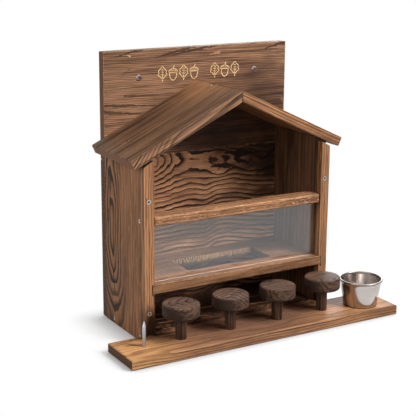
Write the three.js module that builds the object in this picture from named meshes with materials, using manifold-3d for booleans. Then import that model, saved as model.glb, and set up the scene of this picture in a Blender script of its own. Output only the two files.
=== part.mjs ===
// Squirrel feeder box: a torched pine housing with a back board that hangs on a wall, a hopper
// behind a clear pane, a slotted counter over an open feeding bay, four stools on the front
// plank, a lift-out steel cup and a spike for a corn cob.
// Millimetres, +Z up, front towards -Y, origin under the middle of the footprint.
import * as THREE from "three";
import { mergeVertices } from "three/addons/utils/BufferGeometryUtils.js";
import Module from "manifold-3d";

const wasm = await Module();
wasm.setup();

// Overall sizes
const overallWidth = 370;
const overallDepth = 175;
const overallHeight = 328;

// Fits and roundings that all pieces share
const boardSeam = 0.1;
const boardEase = 0.9;
const boreClearance = 0.15;
const cutOverrun = 2;
const cornerSteps = 3;
const roundSteps = 40;
const screwSteps = 12;

// Box: back board and side panels
const boxWidth = 256;
const boxFromLeftEnd = 47.5;
const backThickness = 11;
const upperBackPlankHeight = 128.9;
const sideThickness = 12;

// Base board: wide plank at the front, tongue between the side panels
const plankDepth = 61.5;
const baseThickness = 11.5;

// Front strips, which hold the pane from the front
const stripThickness = 9;
const leftStripWidth = 13;
const rightStripWidth = 11.5;
const stripTopDrop = 3.2;
const stripTopPitch = THREE.MathUtils.degToRad(28.8);
const stripNotchDepth = 3;
const stripNotchPlay = 0.8;

// Roof
const roofRidgeFromTop = 40.5;
const roofPitch = THREE.MathUtils.degToRad(25.2);
const roofSideOverhang = 16.5;
const roofThickness = 11.5;
const roofFrontOverhang = 1;
const roofSeatGap = 0.3;

// Counter shelf with the slot that nuts drop through
const counterBottom = 59.7;
const counterThickness = 11.5;
const counterProud = 0.5;
const slotFromLeftPanel = 61.5;
const slotFromRightPanel = 53.5;
const slotFromStrips = 19.8;
const slotFromBack = 28;

// Rail above the pane
const railBottom = 140.4;
const railThickness = 10.8;
const railDepth = 21;
const railLeftPlay = 1;
const railRightPlay = 2.6;

// Clear pane
const paneThickness = 2;
const paneGrooveDepth = 3.5;
const paneClearance = 0.25;

// Stools
const stoolRowFromLeftEnd = 80;
const stoolRowFromRightEnd = 91.4;
const stoolFromFront = 34.4;
const stoolCount = 4;
const stoolHeight = 43.2;
const seatRadius = 22;
const seatThickness = 15;
const seatEase = 2;
const seatSocketDepth = 6;
const legRadius = 6.6;
const legPilotDepth = 16;

// Steel cup and its shallow seat in the plank
const cupFromRightEnd = 36.4;
const cupFromFront = 28.2;
const cupFootRadius = 20.6;
const cupMouthRadius = 26;
const cupHeight = 34.8;
const cupWall = 0.8;
const cupRimRadius = 1.2;
const cupFootEase = 1.8;
const cupSeatDepth = 1;
const cupSeatClearance = 0.7;
const cupSeatGap = 0.2;

// Corn spike, a nail driven up through the plank
const spikeFromLeftEnd = 31.4;
const spikeFromFront = 32.3;
const spikeRadius = 2.1;
const spikeRise = 31;
const spikePointLength = 5;
const spikePointRadius = 0.35;
const spikeHeadRadius = 4;
const spikeHeadThickness = 1.6;
const headInset = 0.3;

// Countersunk assembly screw
const screwHeadRadius = 2.6;
const screwHeadDepth = 1.9;
const screwHeadLand = 0.3;
const screwShankRadius = 1.3;
const screwTipLength = 2.5;
const screwLength = 24;
const stoolScrewLength = 26;

// Round-headed wall screw, shown in its hole in the back board
const wallScrewFromSide = 46.65;
const wallScrewFromTop = 32.8;
const wallScrewHeadRadius = 3.9;
const wallScrewHeadHeight = 2.3;
const wallScrewShankRadius = 1.9;
const wallScrewShankLength = 10.4;
const wallScrewBoreClearance = 0.5;

// Nails
const nailHeadRadius = 1.9;
const nailHeadDepth = 0.8;
const nailShankRadius = 0.9;
const nailLength = 30;
const ridgeBradLength = 10;

// Places of fasteners on the boards that they go through
const railScrewFromFront = 12.4;
const tongueScrewFromStrips = 3.8;
const tongueScrewFromBack = 20.5;
const stripScrewUnderCounter = 23;
const stripScrewOverRailShare = 0.3;
const backScrewHeightShares = [0.13, 0.5, 0.85];
const backBaseScrewFromPanel = 41;
const backCounterScrewFromPanel = 21;
const backRoofScrewFromSide = 44;
const roofNailFromBack = 48;
const ridgeBradFromBack = 40;
const ridgeBradFromRidge = 3.5;

// Places worked out from the sizes
const leftEnd = -overallWidth / 2;
const rightEnd = overallWidth / 2;
const boxLeft = leftEnd + boxFromLeftEnd;
const boxRight = boxLeft + boxWidth;
const boxCentreX = (boxLeft + boxRight) / 2;
const innerLeft = boxLeft + sideThickness;
const innerRight = boxRight - sideThickness;
const backFace = overallDepth;
const backFront = overallDepth - backThickness;
const stripFront = plankDepth + boardSeam;
const sideFront = stripFront + stripThickness + boardSeam;
const sideBack = backFront - boardSeam;
const counterTop = counterBottom + counterThickness;
const counterMiddle = counterBottom + counterThickness / 2;
const railMiddle = railBottom + railThickness / 2;
const railTop = railBottom + railThickness;
const roofFront = plankDepth - roofFrontOverhang;
const roofRidgeHeight = overallHeight - roofRidgeFromTop;
const roofDrop = roofThickness / Math.cos(roofPitch);
const lowerBackPlankHeight = overallHeight - upperBackPlankHeight - boardSeam;
const stoolTop = baseThickness + stoolHeight;
const seatBottom = stoolTop - seatThickness;
const cupBottom = baseThickness - cupSeatDepth + cupSeatGap;
const cupCentreX = rightEnd - cupFromRightEnd;
const spikePlace = [leftEnd + spikeFromLeftEnd, spikeFromFront, headInset];
const roofHalfWidth = boxWidth / 2 + roofSideOverhang;
const stoolRowLength = overallWidth - stoolRowFromLeftEnd - stoolRowFromRightEnd;
const wallScrewHeight = overallHeight - wallScrewFromTop;

// Height of the roof's underside above a place across the box
function roofUnderside(x) {
  const ridgeUnderside = roofRidgeHeight - roofDrop;
  return ridgeUnderside - Math.abs(x - boxCentreX) * Math.tan(roofPitch);
}

const sidePanelHeight = roofUnderside(boxLeft) - roofSeatGap;

// Materials
function woodMaterial(colour) {
  return new THREE.MeshStandardMaterial({ color: colour, roughness: 0.72, metalness: 0 });
}
const torchedPine = woodMaterial(0x6a4833);
const palePine = woodMaterial(0x8a6041);
const stoolWood = woodMaterial(0x4f3c33);
const steel = new THREE.MeshStandardMaterial({ color: 0xc4c6c8, roughness: 0.28, metalness: 1 });
const clearAcrylic = new THREE.MeshStandardMaterial({
  color: 0xf2f6f6,
  roughness: 0.05,
  metalness: 0,
  transparent: true,
  opacity: 0.25,
});

// Solids and meshes
function solidOf(geometry) {
  const bare = geometry.clone();
  bare.deleteAttribute("normal");
  bare.deleteAttribute("uv");
  const merged = mergeVertices(bare);
  return new wasm.Manifold(
    new wasm.Mesh({
      numProp: 3,
      vertProperties: merged.attributes.position.array,
      triVerts: new Uint32Array(merged.index.array),
    }),
  );
}

function geometryOf(solid) {
  const mesh = solid.getMesh();
  const geometry = new THREE.BufferGeometry();
  geometry.setAttribute("position", new THREE.BufferAttribute(mesh.vertProperties, 3));
  geometry.setIndex(new THREE.BufferAttribute(mesh.triVerts, 1));
  geometry.computeVertexNormals();
  return geometry;
}

function cutFrom(geometry, cutters) {
  const result = cutters.reduce((left, cutter) => left.subtract(cutter), solidOf(geometry));
  return geometryOf(result);
}

function named(name, geometry, material) {
  const mesh = new THREE.Mesh(geometry, material);
  mesh.name = name;
  return mesh;
}

// Directions that an outline can be extruded along: the outline's two axes, then the length
const axisX = new THREE.Vector3(1, 0, 0);
const axisY = new THREE.Vector3(0, 1, 0);
const axisZ = new THREE.Vector3(0, 0, 1);
const alongBack = new THREE.Matrix4().makeBasis(axisX, axisZ, axisY.clone().negate());

function shapeOf(outline) {
  return new THREE.Shape(outline.map(([u, v]) => new THREE.Vector2(u, v)));
}

// An outline with each corner cut back by the easing, as sandpaper leaves a board's long edges
function easedOutline(outline, ease) {
  const corners = outline.map(([u, v]) => new THREE.Vector2(u, v));
  return corners.flatMap((corner, i) => {
    const before = corners.at(i - 1);
    const after = corners[(i + 1) % corners.length];
    const back = before.clone().sub(corner).setLength(ease).add(corner);
    const on = after.clone().sub(corner).setLength(ease).add(corner);
    return [back.toArray(), on.toArray()];
  });
}

// A board from its outline, with both broad faces' edges eased
function easedPlate(outline, thickness, ease) {
  const geometry = new THREE.ExtrudeGeometry(shapeOf(outline), {
    depth: thickness - 2 * ease,
    bevelEnabled: true,
    bevelThickness: ease,
    bevelSize: ease,
    bevelOffset: -ease,
    bevelSegments: 1,
    steps: 1,
  });
  return geometry.translate(0, 0, ease);
}

function prism(outline, length) {
  return new THREE.ExtrudeGeometry(shapeOf(outline), {
    depth: length,
    bevelEnabled: false,
    steps: 1,
  });
}

// A prism from the front to the back of a stretch, from its outline across and up
function prismToBack(outline, front, back) {
  return prism(outline, back - front).applyMatrix4(alongBack).translate(0, back, 0);
}

function boxBetween(low, high) {
  const size = high.map((value, i) => value - low[i]);
  const middle = high.map((value, i) => (value + low[i]) / 2);
  return new THREE.BoxGeometry(...size).translate(...middle);
}

function rectangle(left, bottom, right, top) {
  return [
    [left, bottom],
    [right, bottom],
    [right, top],
    [left, top],
  ];
}

// A turned piece from its profile of radius and height pairs, standing on the plane z = 0
function turned(profile, steps) {
  const points = profile.map(([radius, height]) => new THREE.Vector2(radius, height));
  return new THREE.LatheGeometry(points, steps).rotateX(Math.PI / 2);
}

// Part of a circle for a profile, from one angle to another, both in turns
function arc([centreRadius, centreHeight], radius, startTurns, endTurns, steps) {
  return Array.from({ length: steps + 1 }, (unused, i) => {
    const angle = 2 * Math.PI * (startTurns + ((endTurns - startTurns) * i) / steps);
    return [centreRadius + radius * Math.cos(angle), centreHeight + radius * Math.sin(angle)];
  });
}

// Fasteners
// Each kind has a profile that points down from its head; the clearance turns it into its bore.
function screwProfile(length, clearance, headExtra) {
  const head = screwHeadRadius + clearance;
  const shank = screwShankRadius + clearance;
  return [
    [0, -length - clearance],
    [shank, -length + screwTipLength - clearance],
    [shank, -screwHeadDepth],
    [head, -screwHeadLand],
    [head, headExtra],
    [0, headExtra],
  ];
}

function nailProfile(length, clearance, headExtra) {
  const head = nailHeadRadius + clearance;
  const shank = nailShankRadius + clearance;
  return [
    [0, -length - clearance],
    [shank, -length + nailHeadRadius - clearance],
    [shank, -nailHeadDepth - clearance],
    [head, -nailHeadDepth - clearance],
    [head, headExtra],
    [0, headExtra],
  ];
}

// Turns a fastener's own upright direction to point out of the board at its place
function placed(geometry, place, outward) {
  const turn = new THREE.Quaternion().setFromUnitVectors(axisZ, new THREE.Vector3(...outward));
  return geometry.applyQuaternion(turn).translate(...place);
}

function fastener(name, profileOf, length, place, outward) {
  const steps = screwSteps;
  const body = placed(turned(profileOf(length, 0, 0), steps), place, outward);
  const bore = placed(turned(profileOf(length, boreClearance, cutOverrun), steps), place, outward);
  return { name, mesh: named(name, body, steel), bore: solidOf(bore) };
}

const outLeft = [-1, 0, 0];
const outRight = [1, 0, 0];
const outFront = [0, -1, 0];
const outBack = [0, 1, 0];
const outUp = [0, 0, 1];
const outDown = [0, 0, -1];

function sideScrews(side, faceX, outward) {
  const places = [
    [faceX, stripFront + railScrewFromFront, railMiddle],
    [faceX, sideFront + tongueScrewFromStrips, baseThickness / 2],
    [faceX, backFront - tongueScrewFromBack, baseThickness / 2],
  ];
  const roles = ["rail", "base_front", "base_back"];
  return places.map((place, i) => {
    const inset = [place[0] - outward[0] * headInset, place[1], place[2]];
    return fastener(`side_screw_${side}_${roles[i]}`, screwProfile, screwLength, inset, outward);
  });
}

function stripScrews(side, centreX) {
  const roles = ["lower", "upper"];
  const spaceOverRail = sidePanelHeight - railTop;
  const heights = [
    counterBottom - stripScrewUnderCounter,
    railTop + stripScrewOverRailShare * spaceOverRail,
  ];
  return heights.map((height, i) =>
    fastener(
      `strip_screw_${side}_${roles[i]}`,
      screwProfile,
      screwLength,
      [centreX, stripFront + headInset, height],
      outFront,
    ),
  );
}

function backScrew(name, x, height) {
  return fastener(name, screwProfile, screwLength, [x, backFace - headInset, height], outBack);
}

function backSideScrews(side, centreX) {
  const roles = ["low", "middle", "high"];
  return backScrewHeightShares.map((share, i) =>
    backScrew(`back_screw_${side}_${roles[i]}`, centreX, share * sidePanelHeight),
  );
}

function backPair(role, fromSide, height) {
  return [
    backScrew(`back_screw_${role}_left`, boxLeft + fromSide, height),
    backScrew(`back_screw_${role}_right`, boxRight - fromSide, height),
  ];
}

// A nail driven straight down through a roof board, its head just below the sloping face
function roofNail(name, x, y, length) {
  const surface = roofRidgeHeight - Math.abs(x - boxCentreX) * Math.tan(roofPitch);
  const height = surface - nailHeadRadius * Math.tan(roofPitch);
  return fastener(name, nailProfile, length, [x, y, height], outUp);
}

function stoolX(i) {
  return leftEnd + stoolRowFromLeftEnd + (stoolRowLength * i) / (stoolCount - 1);
}

function stoolScrew(i) {
  const place = [stoolX(i), stoolFromFront, headInset];
  return fastener(`stool_screw_${i + 1}`, screwProfile, stoolScrewLength, place, outDown);
}

const stools = Array.from({ length: stoolCount }, (unused, i) => i);
const leftSideScrews = sideScrews("left", boxLeft, outLeft);
const rightSideScrews = sideScrews("right", boxRight, outRight);
const leftStripScrews = stripScrews("left", boxLeft + leftStripWidth / 2);
const rightStripScrews = stripScrews("right", boxRight - rightStripWidth / 2);
const leftBackScrews = backSideScrews("left", boxLeft + sideThickness / 2);
const rightBackScrews = backSideScrews("right", boxRight - sideThickness / 2);
const baseBackScrews = backPair("base", sideThickness + backBaseScrewFromPanel, baseThickness / 2);
const counterBackScrews = backPair("counter", sideThickness + backCounterScrewFromPanel, counterMiddle);
const roofScrewHeight = roofUnderside(boxLeft + backRoofScrewFromSide) + roofDrop / 2;
const roofBackScrews = backPair("roof", backRoofScrewFromSide, roofScrewHeight);
const stoolScrews = stools.map(stoolScrew);
const roofNailY = backFront - roofNailFromBack;
const leftRoofNail = roofNail("roof_nail_left", boxLeft + sideThickness / 2, roofNailY, nailLength);
const rightRoofNail = roofNail("roof_nail_right", boxRight - sideThickness / 2, roofNailY, nailLength);
const ridgeBrad = roofNail(
  "ridge_brad",
  boxCentreX - ridgeBradFromRidge,
  backFront - ridgeBradFromBack,
  ridgeBradLength,
);

// Wall screws
function wallScrewX(hand) {
  return boxCentreX + hand * (boxWidth / 2 - wallScrewFromSide);
}

function wallScrew(name, hand) {
  const dome = arc([0, 0], 1, 0, 1 / 4, cornerSteps).slice(0, -1);
  const headPoints = dome.map(([u, v]) => [u * wallScrewHeadRadius, v * wallScrewHeadHeight]);
  const profile = [
    [0, -wallScrewShankLength],
    [wallScrewShankRadius, -wallScrewShankLength],
    [wallScrewShankRadius, 0],
    ...headPoints,
    [0, wallScrewHeadHeight],
  ];
  const place = [wallScrewX(hand), backFront - boardSeam, wallScrewHeight];
  return named(name, placed(turned(profile, screwSteps), place, outFront), steel);
}

function wallScrewBore(hand) {
  const radius = wallScrewShankRadius + wallScrewBoreClearance;
  const length = backThickness + 2 * cutOverrun;
  const bore = new THREE.CylinderGeometry(radius, radius, length, screwSteps);
  return solidOf(bore.translate(wallScrewX(hand), backFront + backThickness / 2, wallScrewHeight));
}

// Boards
function boresOf(fasteners) {
  return fasteners.map((item) => item.bore);
}

function backPlank(name, bottom, top, cutters) {
  const outline = easedOutline(rectangle(boxLeft, bottom, boxRight, top), boardEase);
  const board = prismToBack(outline, backFront, backFace);
  return named(name, cutFrom(board, cutters), torchedPine);
}

// A side panel, bevelled under the roof, with a groove at its front edge for the pane
function sidePanel(name, left, right, grooveInner, grooveOuter, cutters) {
  const outline = [
    [left, 0],
    [right, 0],
    [right, roofUnderside(right) - roofSeatGap],
    [left, roofUnderside(left) - roofSeatGap],
  ];
  const groove = boxBetween(
    [Math.min(grooveInner, grooveOuter), sideFront - cutOverrun, counterTop],
    [Math.max(grooveInner, grooveOuter), sideFront + paneThickness + 2 * paneClearance, railBottom],
  );
  const board = prismToBack(outline, sideFront, sideBack);
  return named(name, cutFrom(board, [solidOf(groove), ...cutters]), torchedPine);
}

// A front strip: its top is cut a little steeper than the roof, and it is notched for the counter
function frontStrip(name, outer, inner, cutters) {
  const hand = Math.sign(inner - outer);
  const width = Math.abs(inner - outer);
  const innerTop = roofUnderside(inner) - stripTopDrop;
  const outline = [
    [outer, 0],
    [inner, 0],
    [inner, innerTop],
    [outer, innerTop - width * Math.tan(stripTopPitch)],
  ];
  const turnedRound = hand > 0 ? outline : outline.reverse();
  const board = prismToBack(easedOutline(turnedRound, boardEase), stripFront, stripFront + stripThickness);
  const notchEnd = inner - hand * stripNotchDepth;
  const notchMouth = inner + hand * cutOverrun;
  const notch = boxBetween(
    [Math.min(notchEnd, notchMouth), stripFront - cutOverrun, counterBottom - boardSeam],
    [Math.max(notchEnd, notchMouth), sideFront + cutOverrun, counterTop + boardSeam],
  );
  return named(name, cutFrom(board, [solidOf(notch), ...cutters]), palePine);
}

// The base board: a wide plank whose tongue runs back between the side panels
function baseBoard(cutters) {
  const tongueLeft = innerLeft + boardSeam;
  const tongueRight = Math.min(innerRight, boxRight - rightStripWidth) - boardSeam;
  const stripInnerLeft = Math.max(innerLeft, boxLeft + leftStripWidth) + boardSeam;
  const outline = [
    [leftEnd, 0],
    [rightEnd, 0],
    [rightEnd, plankDepth],
    [tongueRight, plankDepth],
    [tongueRight, sideBack],
    [tongueLeft, sideBack],
    [tongueLeft, sideFront],
    [stripInnerLeft, sideFront],
    [stripInnerLeft, plankDepth],
    [leftEnd, plankDepth],
  ];
  const board = easedPlate(outline, baseThickness, boardEase);
  const recessRadius = cupFootRadius + cupSeatClearance;
  const recessDepth = cupSeatDepth + cutOverrun;
  const recess = new THREE.CylinderGeometry(recessRadius, recessRadius, recessDepth, roundSteps);
  recess.rotateX(Math.PI / 2);
  recess.translate(cupCentreX, cupFromFront, baseThickness - cupSeatDepth + recessDepth / 2);
  const spikeBore = turned(spikeProfile(boreClearance, cutOverrun), screwSteps);
  spikeBore.translate(...spikePlace);
  const allCutters = [solidOf(recess), solidOf(spikeBore), ...cutters];
  return named("base_board", cutFrom(board, allCutters), palePine);
}

// The counter: its front is notched into the strips, and a slot passes nuts to the bay below
function counterShelf(cutters) {
  const earLeft = boxLeft + leftStripWidth - stripNotchDepth + stripNotchPlay;
  const earRight = boxRight - rightStripWidth + stripNotchDepth - stripNotchPlay;
  const left = innerLeft + boardSeam;
  const right = innerRight - boardSeam;
  const front = stripFront - counterProud;
  const earBack = sideFront - boardSeam;
  const outline = [
    [earLeft, front],
    [earRight, front],
    [earRight, earBack],
    [right, earBack],
    [right, sideBack],
    [left, sideBack],
    [left, earBack],
    [earLeft, earBack],
  ];
  const board = easedPlate(outline, counterThickness, boardEase).translate(0, 0, counterBottom);
  const slot = boxBetween(
    [innerLeft + slotFromLeftPanel, sideFront + slotFromStrips, counterBottom - cutOverrun],
    [innerRight - slotFromRightPanel, backFront - slotFromBack, counterTop + cutOverrun],
  );
  return named("counter_shelf", cutFrom(board, [solidOf(slot), ...cutters]), palePine);
}

// The rail above the pane: its front fits between the strips, its back between the panels
function topRail(cutters) {
  const frontLeft = boxLeft + leftStripWidth + railLeftPlay;
  const frontRight = boxRight - rightStripWidth - railRightPlay;
  const left = innerLeft + boardSeam;
  const right = innerRight - boardSeam;
  const corner = sideFront + boardSeam;
  const back = stripFront + railDepth;
  const outline = [
    [frontLeft, stripFront],
    [frontRight, stripFront],
    [frontRight, corner],
    [right, corner],
    [right, back],
    [left, back],
    [left, corner],
    [frontLeft, corner],
  ];
  const board = easedPlate(outline, railThickness, boardEase).translate(0, 0, railBottom);
  return named("top_rail", cutFrom(board, cutters), palePine);
}

// A roof board, mitred upright at the ridge and cut square at the eave
function roofBoard(name, hand, cutters) {
  const alongEave = roofHalfWidth;
  const fall = alongEave * Math.tan(roofPitch);
  const squareIn = roofThickness * Math.sin(roofPitch);
  const squareDown = roofThickness * Math.cos(roofPitch);
  const mitre = boxCentreX + (hand * boardSeam) / 2;
  const eave = boxCentreX + hand * alongEave;
  const outline = [
    [mitre, roofRidgeHeight],
    [eave, roofRidgeHeight - fall],
    [eave - hand * squareIn, roofRidgeHeight - fall - squareDown],
    [mitre, roofRidgeHeight - roofDrop],
  ];
  const turnedRound = hand < 0 ? outline : outline.reverse();
  const board = prismToBack(easedOutline(turnedRound, boardEase), roofFront, sideBack);
  return named(name, cutFrom(board, cutters), torchedPine);
}

function windowPane() {
  const reach = paneGrooveDepth - paneClearance;
  const front = sideFront + paneClearance;
  const geometry = boxBetween(
    [innerLeft - reach, front, counterTop + boardSeam],
    [innerRight + reach, front + paneThickness, railBottom - paneClearance],
  );
  return named("window_pane", geometry, clearAcrylic);
}

// Stools
function stoolSeat(i) {
  const socketRadius = legRadius + boreClearance;
  const lowerEdge = arc([seatRadius - seatEase, seatEase], seatEase, -1 / 4, 0, cornerSteps);
  const upperEdge = arc([seatRadius - seatEase, seatThickness - seatEase], seatEase, 0, 1 / 4, cornerSteps);
  const profile = [
    [0, seatSocketDepth],
    [socketRadius, seatSocketDepth],
    [socketRadius, 0],
    ...lowerEdge,
    ...upperEdge,
    [0, seatThickness],
  ];
  const mesh = named(`stool_seat_${i + 1}`, turned(profile, roundSteps), stoolWood);
  mesh.position.set(stoolX(i), stoolFromFront, seatBottom);
  return mesh;
}

function stoolLeg(i) {
  const pilotRadius = screwShankRadius + boreClearance;
  const length = stoolHeight - seatThickness + seatSocketDepth - 2 * boardSeam;
  const profile = [
    [0, legPilotDepth],
    [pilotRadius, legPilotDepth],
    [pilotRadius, 0],
    [legRadius, 0],
    [legRadius, length],
    [0, length],
  ];
  const mesh = named(`stool_leg_${i + 1}`, turned(profile, roundSteps / 2), stoolWood);
  mesh.position.set(stoolX(i), stoolFromFront, baseThickness + boardSeam);
  return mesh;
}

// Steel cup with a rolled rim
function sauceCup() {
  const rimCentre = [cupMouthRadius, cupHeight - cupRimRadius];
  const outerFoot = arc([cupFootRadius - cupFootEase, cupFootEase], cupFootEase, -1 / 4, 0, cornerSteps);
  const innerFootRadius = cupFootEase - cupWall;
  const innerFoot = arc([cupFootRadius - cupFootEase, cupFootEase], innerFootRadius, 0, -1 / 4, cornerSteps);
  const rim = arc(rimCentre, cupRimRadius, -1 / 4, 1 / 2, 2 * cornerSteps);
  const profile = [[0, 0], ...outerFoot, ...rim, ...innerFoot, [0, cupWall]];
  const mesh = named("sauce_cup", turned(profile, roundSteps), steel);
  mesh.position.set(cupCentreX, cupFromFront, cupBottom);
  return mesh;
}

function spikeProfile(clearance, headExtra) {
  const shank = spikeRadius + clearance;
  const length = baseThickness - headInset + spikeRise + clearance;
  return [
    [0, -headExtra],
    [spikeHeadRadius + clearance, -headExtra],
    [spikeHeadRadius + clearance, spikeHeadThickness + clearance],
    [shank, spikeHeadThickness + clearance],
    [shank, length - spikePointLength],
    [spikePointRadius, length],
    [0, length],
  ];
}

function cornSpike() {
  const mesh = named("corn_spike", turned(spikeProfile(0, 0), screwSteps), steel);
  mesh.position.set(...spikePlace);
  return mesh;
}

// Assembly
const feeder = new THREE.Group();
const backScrews = [
  ...leftBackScrews,
  ...rightBackScrews,
  ...baseBackScrews,
  ...counterBackScrews,
  ...roofBackScrews,
];
const fasteners = [
  ...leftSideScrews,
  ...rightSideScrews,
  ...leftStripScrews,
  ...rightStripScrews,
  ...backScrews,
  ...stoolScrews,
  leftRoofNail,
  rightRoofNail,
  ridgeBrad,
];
const backBores = [...boresOf(backScrews), wallScrewBore(-1), wallScrewBore(1)];
const tongueScrews = [...leftSideScrews.slice(1), ...rightSideScrews.slice(1)];
const railScrews = [leftSideScrews[0], rightSideScrews[0]];

feeder.add(
  backPlank("back_plank_lower", 0, lowerBackPlankHeight, backBores),
  backPlank("back_plank_upper", lowerBackPlankHeight + boardSeam, overallHeight, backBores),
  sidePanel(
    "side_panel_left",
    boxLeft,
    innerLeft,
    innerLeft + cutOverrun,
    innerLeft - paneGrooveDepth,
    boresOf([...leftSideScrews, ...leftStripScrews, ...leftBackScrews, leftRoofNail]),
  ),
  sidePanel(
    "side_panel_right",
    innerRight,
    boxRight,
    innerRight - cutOverrun,
    innerRight + paneGrooveDepth,
    boresOf([...rightSideScrews, ...rightStripScrews, ...rightBackScrews, rightRoofNail]),
  ),
  frontStrip("front_strip_left", boxLeft, boxLeft + leftStripWidth, boresOf(leftStripScrews)),
  frontStrip("front_strip_right", boxRight, boxRight - rightStripWidth, boresOf(rightStripScrews)),
  baseBoard(boresOf([...tongueScrews, ...baseBackScrews, ...stoolScrews])),
  counterShelf(boresOf(counterBackScrews)),
  topRail(boresOf(railScrews)),
  roofBoard("roof_board_left", -1, boresOf([leftRoofNail, ridgeBrad, roofBackScrews[0]])),
  roofBoard("roof_board_right", 1, boresOf([rightRoofNail, ridgeBrad, roofBackScrews[1]])),
  windowPane(),
  ...stools.map(stoolSeat),
  ...stools.map(stoolLeg),
  sauceCup(),
  cornSpike(),
  wallScrew("wall_screw_left", -1),
  wallScrew("wall_screw_right", 1),
  ...fasteners.map((item) => item.mesh),
);
feeder.position.y = -overallDepth / 2;

export default feeder;
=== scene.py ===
"""Squirrel feeder box: a torched pine house with four stools, a clear pane and a steel cup.

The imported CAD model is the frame. Its boards and its pane keep their solids and get their materials here.
The stools, the cup, the spike, the screws and the nails are turned again with finer faces, and the back
board gets a row of leaves and acorns. Lengths are in metres, apart from values whose names end in _MM or
_mm, and the sizes and places that wood, turned, stroke and screw are given: those are in millimetres.
"""

import math
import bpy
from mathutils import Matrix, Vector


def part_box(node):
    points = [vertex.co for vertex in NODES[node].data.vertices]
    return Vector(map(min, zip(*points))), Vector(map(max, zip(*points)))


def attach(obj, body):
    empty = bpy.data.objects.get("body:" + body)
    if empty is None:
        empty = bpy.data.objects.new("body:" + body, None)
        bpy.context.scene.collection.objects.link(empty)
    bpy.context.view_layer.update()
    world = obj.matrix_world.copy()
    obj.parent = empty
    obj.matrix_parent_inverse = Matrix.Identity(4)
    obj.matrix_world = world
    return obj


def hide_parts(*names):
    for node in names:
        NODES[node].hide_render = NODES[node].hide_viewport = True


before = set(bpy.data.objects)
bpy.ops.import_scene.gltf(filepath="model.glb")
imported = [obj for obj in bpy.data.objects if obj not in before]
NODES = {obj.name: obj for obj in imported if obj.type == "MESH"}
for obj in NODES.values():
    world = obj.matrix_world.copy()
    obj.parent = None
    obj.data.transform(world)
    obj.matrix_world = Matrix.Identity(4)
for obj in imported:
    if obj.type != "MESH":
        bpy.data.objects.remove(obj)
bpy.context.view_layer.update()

from types import SimpleNamespace

import bmesh
import bpy
from mathutils import Matrix, Vector, noise

MM = 0.001

# Directions
X = Vector((1, 0, 0))
Y = Vector((0, 1, 0))
Z = Vector((0, 0, 1))

# Camera, fitted to the corners of the boards in the photograph
CAMERA_PLACE_MM = (-683.78, -1096.01, 484.43)
CAMERA_FORWARD = Vector((0.48183, 0.83736, -0.25819))
CAMERA_UP = Vector((0.12427, 0.22637, 0.96608))
CAMERA_LENS_MM = 95.69
CAMERA_SENSOR_MM = 36.0
CAMERA_SHIFT = (0.02476, 0.00223)
CAMERA_NEAR = 0.05

# Lamps. A level of 1 shows a surface that faces the lamp in the colour that is written for it.
LAMPS = {
    "key": dict(toward=(0.42, -0.60, 0.80), level=0.83, distance=1.5, size=0.45, colour=(1, 0.985, 1)),
    "front": dict(toward=(0.57, -0.80, 0.50), level=0.52, distance=1.6, size=0.4, colour=(1, 0.985, 1)),
    "side": dict(toward=(-0.90, -0.30, 0.35), level=0.39, distance=1.5, size=0.9, colour=(1, 0.975, 0.97)),
    "back": dict(toward=(0.70, 0.80, 0.22), level=0.48, distance=1.6, size=0.9, colour=(1, 0.985, 0.98)),
}
LAMP_AIM = Vector((-0.01, -0.02, 0.14))
FILL_LEVEL = 0.07

# Floor: its size, its grey, what it throws back on the object, and its glow in a corner and in the open. The
# dimmer glow in a corner paints a contact shade.
FLOOR_RADIUS = 9.0
FLOOR_DROP = 0.0004
FLOOR_GREY = 0.45
FLOOR_BOUNCE = 0.10
CONTACT_SHADE_REACH = 0.03
CONTACT_SHADE_GLOW = 0.16
OPEN_GLOW = 0.62
# Where the floor shows the shadow: the middles and half sizes of the places of the box and the plank
SHADOW_AREAS = (((-0.01, 0.02, 0), (0.14, 0.055, 0)), ((0, -0.05, 0), (0.185, 0.0375, 0)))
SHADOW_FADE = 0.045


def box_of(node):
    """The lowest and highest corners of a CAD node, in millimetres."""
    low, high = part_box(node)
    return low / MM, high / MM


def round_of(node):
    """Where an upright round CAD node stands, its radius and its height, in millimetres."""
    low, high = box_of(node)
    foot = Vector(((low.x + high.x) / 2, (low.y + high.y) / 2, low.z))
    return foot, (high.x - low.x) / 2, high.z - low.z


def linear(text):
    """A colour written as six hex digits, as the linear values that a shader takes."""
    values = [int(text[i : i + 2], 16) / 255 for i in (0, 2, 4)]
    return tuple(v / 12.92 if v <= 0.04045 else ((v + 0.055) / 1.055) ** 2.4 for v in values) + (1,)


def grey(level):
    return (level, level, level, 1)


# The roof: its pitch, where its boards meet, and how far forward their nails are
ROOF_PITCH_DEGREES = 25.2
RIDGE_X_MM = (box_of("roof_board_left")[1].x + box_of("roof_board_right")[0].x) / 2
ROOF_NAIL_Y_MM = round_of("roof_nail_left")[0].y

# Building materials from nodes

# Between these two levels a noise has nearly all of its values
NOISE_LOW = 0.3
NOISE_HIGH = 0.7


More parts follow.
